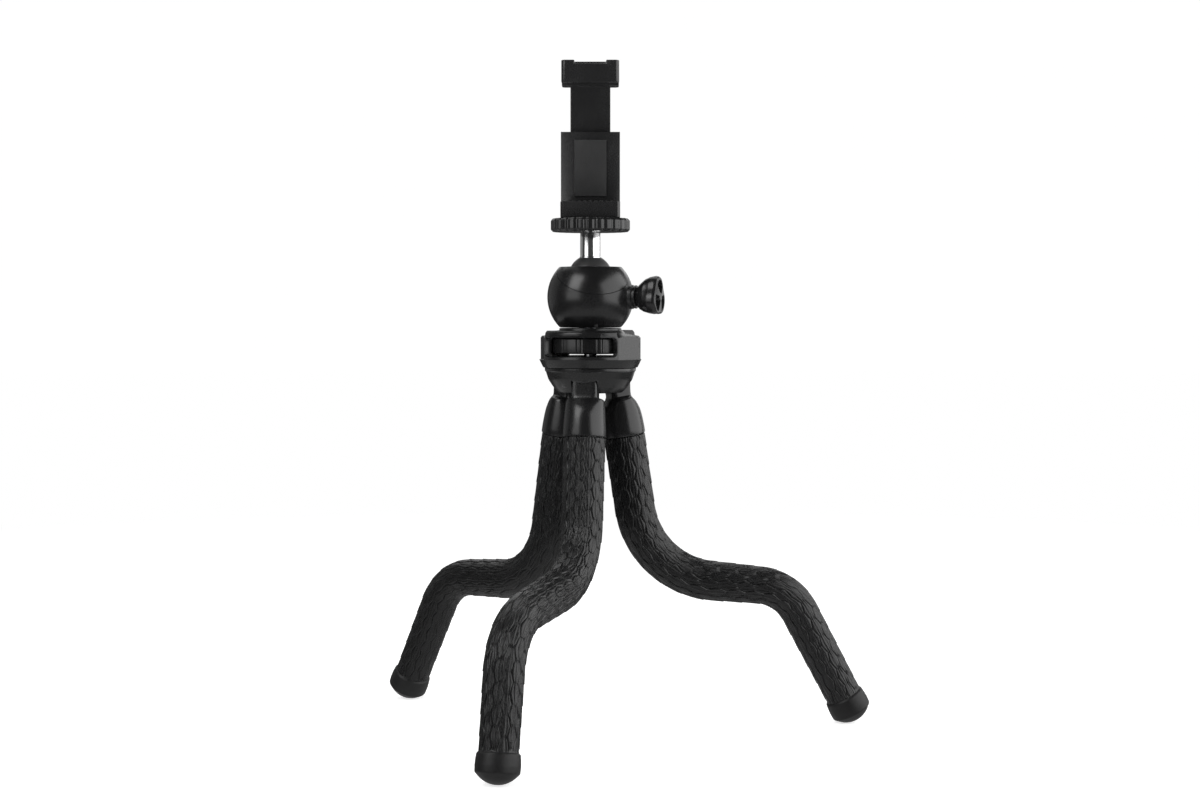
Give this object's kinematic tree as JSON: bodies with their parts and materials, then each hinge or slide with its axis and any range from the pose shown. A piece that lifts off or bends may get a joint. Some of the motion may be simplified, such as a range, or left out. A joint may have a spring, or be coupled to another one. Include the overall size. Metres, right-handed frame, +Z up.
{
  "type": "flexible leg tripod",
  "caption": "Flexible leg tripod: rubber sleeved wire legs hinged on a domed hub, thumbwheel crown, ball head with side lock knob, and a spring phone clip on a ribbed lock wheel.",
  "frame": {"origin": "on the ground plane, straight below the vertical axis of the hub and ball head", "axes": "+Z up, -Y toward the viewer of the picture and the user of the clip, +X to that viewer's right"},
  "size_m": [0.2526, 0.2259, 0.3343],
  "materials": {
    "black_plastic": "satin moulded black with a fine texture",
    "head_coating": "satin black coating",
    "ball_black": "smooth dark coating",
    "polished_chrome": "polished",
    "steel": "machined",
    "brass": "machined",
    "nylon": "natural moulded",
    "pad_rubber": "matt",
    "sleeve_rubber": "matt with a raised scale pattern",
    "foot_rubber": "smooth",
    "core_wire": "drawn wire"
  },
  "bodies": {
    "hub": {"hub_bowl": "black_plastic", "crown": "black_plastic", "hinge_pins": "steel"},
    "thumbwheel": {"thumbwheel": "black_plastic", "thumbwheel_screw": "steel"},
    "head": {"head_lower_shell": "head_coating", "head_upper_shell": "head_coating", "shell_screws": "steel", "ball_seat": "nylon", "clamp_shoe": "brass", "knob_collar": "head_coating"},
    "knob": {"lock_knob": "black_plastic", "lock_screw": "steel"},
    "ball": {"ball": "ball_black", "ball_stem": "polished_chrome", "stud": "steel"},
    "wheel": {"lock_wheel": "black_plastic"},
    "clip": {"clip_base": "black_plastic", "clip_insert": "brass", "clip_lower_pad": "pad_rubber", "clip_back_pad": "pad_rubber", "clip_cover": "black_plastic", "clip_screws": "steel", "clip_springs": "steel"},
    "jaw": {"clip_slider": "black_plastic", "clip_upper_pad": "pad_rubber"},
    "leg_a_upper": {"leg_a_socket": "black_plastic", "leg_a_sleeve_1": "sleeve_rubber", "leg_a_core_1": "core_wire"},
    "leg_a_knee": {"leg_a_sleeve_2": "sleeve_rubber", "leg_a_core_2": "core_wire"},
    "leg_a_shank": {"leg_a_sleeve_3": "sleeve_rubber", "leg_a_core_3": "core_wire"},
    "leg_a_lower": {"leg_a_sleeve_4": "sleeve_rubber", "leg_a_core_4": "core_wire", "leg_a_foot": "foot_rubber"},
    "leg_b_upper": {"leg_b_socket": "black_plastic", "leg_b_sleeve_1": "sleeve_rubber", "leg_b_core_1": "core_wire"},
    "leg_b_knee": {"leg_b_sleeve_2": "sleeve_rubber", "leg_b_core_2": "core_wire"},
    "leg_b_shank": {"leg_b_sleeve_3": "sleeve_rubber", "leg_b_core_3": "core_wire"},
    "leg_b_lower": {"leg_b_sleeve_4": "sleeve_rubber", "leg_b_core_4": "core_wire", "leg_b_foot": "foot_rubber"},
    "leg_c_upper": {"leg_c_socket": "black_plastic", "leg_c_sleeve_1": "sleeve_rubber", "leg_c_core_1": "core_wire"},
    "leg_c_knee": {"leg_c_sleeve_2": "sleeve_rubber", "leg_c_core_2": "core_wire"},
    "leg_c_shank": {"leg_c_sleeve_3": "sleeve_rubber", "leg_c_core_3": "core_wire"},
    "leg_c_lower": {"leg_c_sleeve_4": "sleeve_rubber", "leg_c_core_4": "core_wire", "leg_c_foot": "foot_rubber"}
  },
  "joints": [
    {"name": "thumbwheel_turn", "type": "hinge", "parent": "hub", "child": "thumbwheel", "pos_m": [0, 0, 0.192], "axis": [0, 0, 1], "continuous": true},
    {"name": "head_pan", "type": "hinge", "parent": "hub", "child": "head", "pos_m": [0, 0, 0.218], "axis": [0, 0, 1], "continuous": true},
    {"name": "lock_knob_turn", "type": "hinge", "parent": "head", "child": "knob", "pos_m": [0.02869, -0.00877, 0.218], "axis": [0.9563, -0.2924, 0], "range_deg": [-180, 180]},
    {"name": "ball_tilt", "type": "hinge", "parent": "head", "child": "ball", "pos_m": [0, 0, 0.228], "axis": [1, 0, 0], "range_deg": [-30, 30]},
    {"name": "lock_wheel_turn", "type": "hinge", "parent": "ball", "child": "wheel", "pos_m": [0, 0, 0.25363], "axis": [0, 0, 1], "continuous": true},
    {"name": "clip_turn", "type": "hinge", "parent": "ball", "child": "clip", "pos_m": [0, 0, 0.25983], "axis": [0, 0, 1], "continuous": true},
    {"name": "jaw_slide", "type": "slide", "parent": "clip", "child": "jaw", "axis": [0, 0, 1], "range_m": [-0.0048, 0.02], "stiffness_N_per_m": 250, "springref_m": -0.02, "deforming": ["clip_springs"]},
    {"name": "leg_a_spread", "type": "hinge", "parent": "hub", "child": "leg_a_upper", "pos_m": [0.01307, 0.00502, 0.175], "axis": [0.3584, -0.9336, 0], "range_deg": [-9, 8]},
    {"name": "leg_a_upper_bend", "type": "hinge", "parent": "leg_a_upper", "child": "leg_a_knee", "pos_m": [0.03568, 0.01057, 0.0859], "axis": [0.0524, -0.9974, -0.0489], "range_deg": [-76, 20], "deforming": ["leg_a_sleeve_1", "leg_a_core_1", "leg_a_sleeve_2", "leg_a_core_2"]},
    {"name": "leg_a_side_bend", "type": "hinge", "parent": "leg_a_knee", "child": "leg_a_shank", "pos_m": [0.0738, 0.01322, 0.07276], "axis": [0.1008, -0.0434, 0.994], "range_deg": [-35, 35], "deforming": ["leg_a_sleeve_2", "leg_a_core_2", "leg_a_sleeve_3", "leg_a_core_3"]},
    {"name": "leg_a_lower_bend", "type": "hinge", "parent": "leg_a_shank", "child": "leg_a_lower", "pos_m": [0.09804, 0.01477, 0.06718], "axis": [-0.0524, 0.9974, 0.0489], "range_deg": [-56, 25], "deforming": ["leg_a_sleeve_3", "leg_a_core_3", "leg_a_sleeve_4", "leg_a_core_4"]},
    {"name": "leg_b_spread", "type": "hinge", "parent": "hub", "child": "leg_b_upper", "pos_m": [-0.00219, -0.01383, 0.175], "axis": [-0.9877, 0.1564, 0], "range_deg": [-9, 8]},
    {"name": "leg_b_upper_bend", "type": "hinge", "parent": "leg_b_upper", "child": "leg_b_knee", "pos_m": [-0.00735, -0.03436, 0.08782], "axis": [-0.9162, 0.3989, -0.0397], "range_deg": [-74, 20], "deforming": ["leg_b_sleeve_1", "leg_b_core_1", "leg_b_sleeve_2", "leg_b_core_2"]},
    {"name": "leg_b_side_bend", "type": "hinge", "parent": "leg_b_knee", "child": "leg_b_shank", "pos_m": [-0.02206, -0.0694, 0.07526], "axis": [-0.0888, -0.1054, 0.9905], "range_deg": [-35, 35], "deforming": ["leg_b_sleeve_2", "leg_b_core_2", "leg_b_sleeve_3", "leg_b_core_3"]},
    {"name": "leg_b_lower_bend", "type": "hinge", "parent": "leg_b_shank", "child": "leg_b_lower", "pos_m": [-0.03519, -0.10056, 0.06518], "axis": [0.9162, -0.3989, 0.0397], "range_deg": [-69, 25], "deforming": ["leg_b_sleeve_3", "leg_b_core_3", "leg_b_sleeve_4", "leg_b_core_4"]},
    {"name": "leg_c_spread", "type": "hinge", "parent": "hub", "child": "leg_c_upper", "pos_m": [-0.01088, 0.00881, 0.175], "axis": [0.6293, 0.7771, 0], "range_deg": [-9, 8]},
    {"name": "leg_c_upper_bend", "type": "hinge", "parent": "leg_c_upper", "child": "leg_c_knee", "pos_m": [-0.02842, 0.02347, 0.08087], "axis": [0.6628, 0.7487, -0.007], "range_deg": [-78, 20], "deforming": ["leg_c_sleeve_1", "leg_c_core_1", "leg_c_sleeve_2", "leg_c_core_2"]},
    {"name": "leg_c_side_bend", "type": "hinge", "parent": "leg_c_knee", "child": "leg_c_shank", "pos_m": [-0.05417, 0.04617, 0.07089], "axis": [-0.0412, 0.0458, 0.9981], "range_deg": [-35, 35], "deforming": ["leg_c_sleeve_2", "leg_c_core_2", "leg_c_sleeve_3", "leg_c_core_3"]},
    {"name": "leg_c_lower_bend", "type": "hinge", "parent": "leg_c_shank", "child": "leg_c_lower", "pos_m": [-0.07391, 0.06359, 0.06555], "axis": [-0.6628, -0.7487, 0.007], "range_deg": [-59, 25], "deforming": ["leg_c_sleeve_3", "leg_c_core_3", "leg_c_sleeve_4", "leg_c_core_4"]}
  ]
}
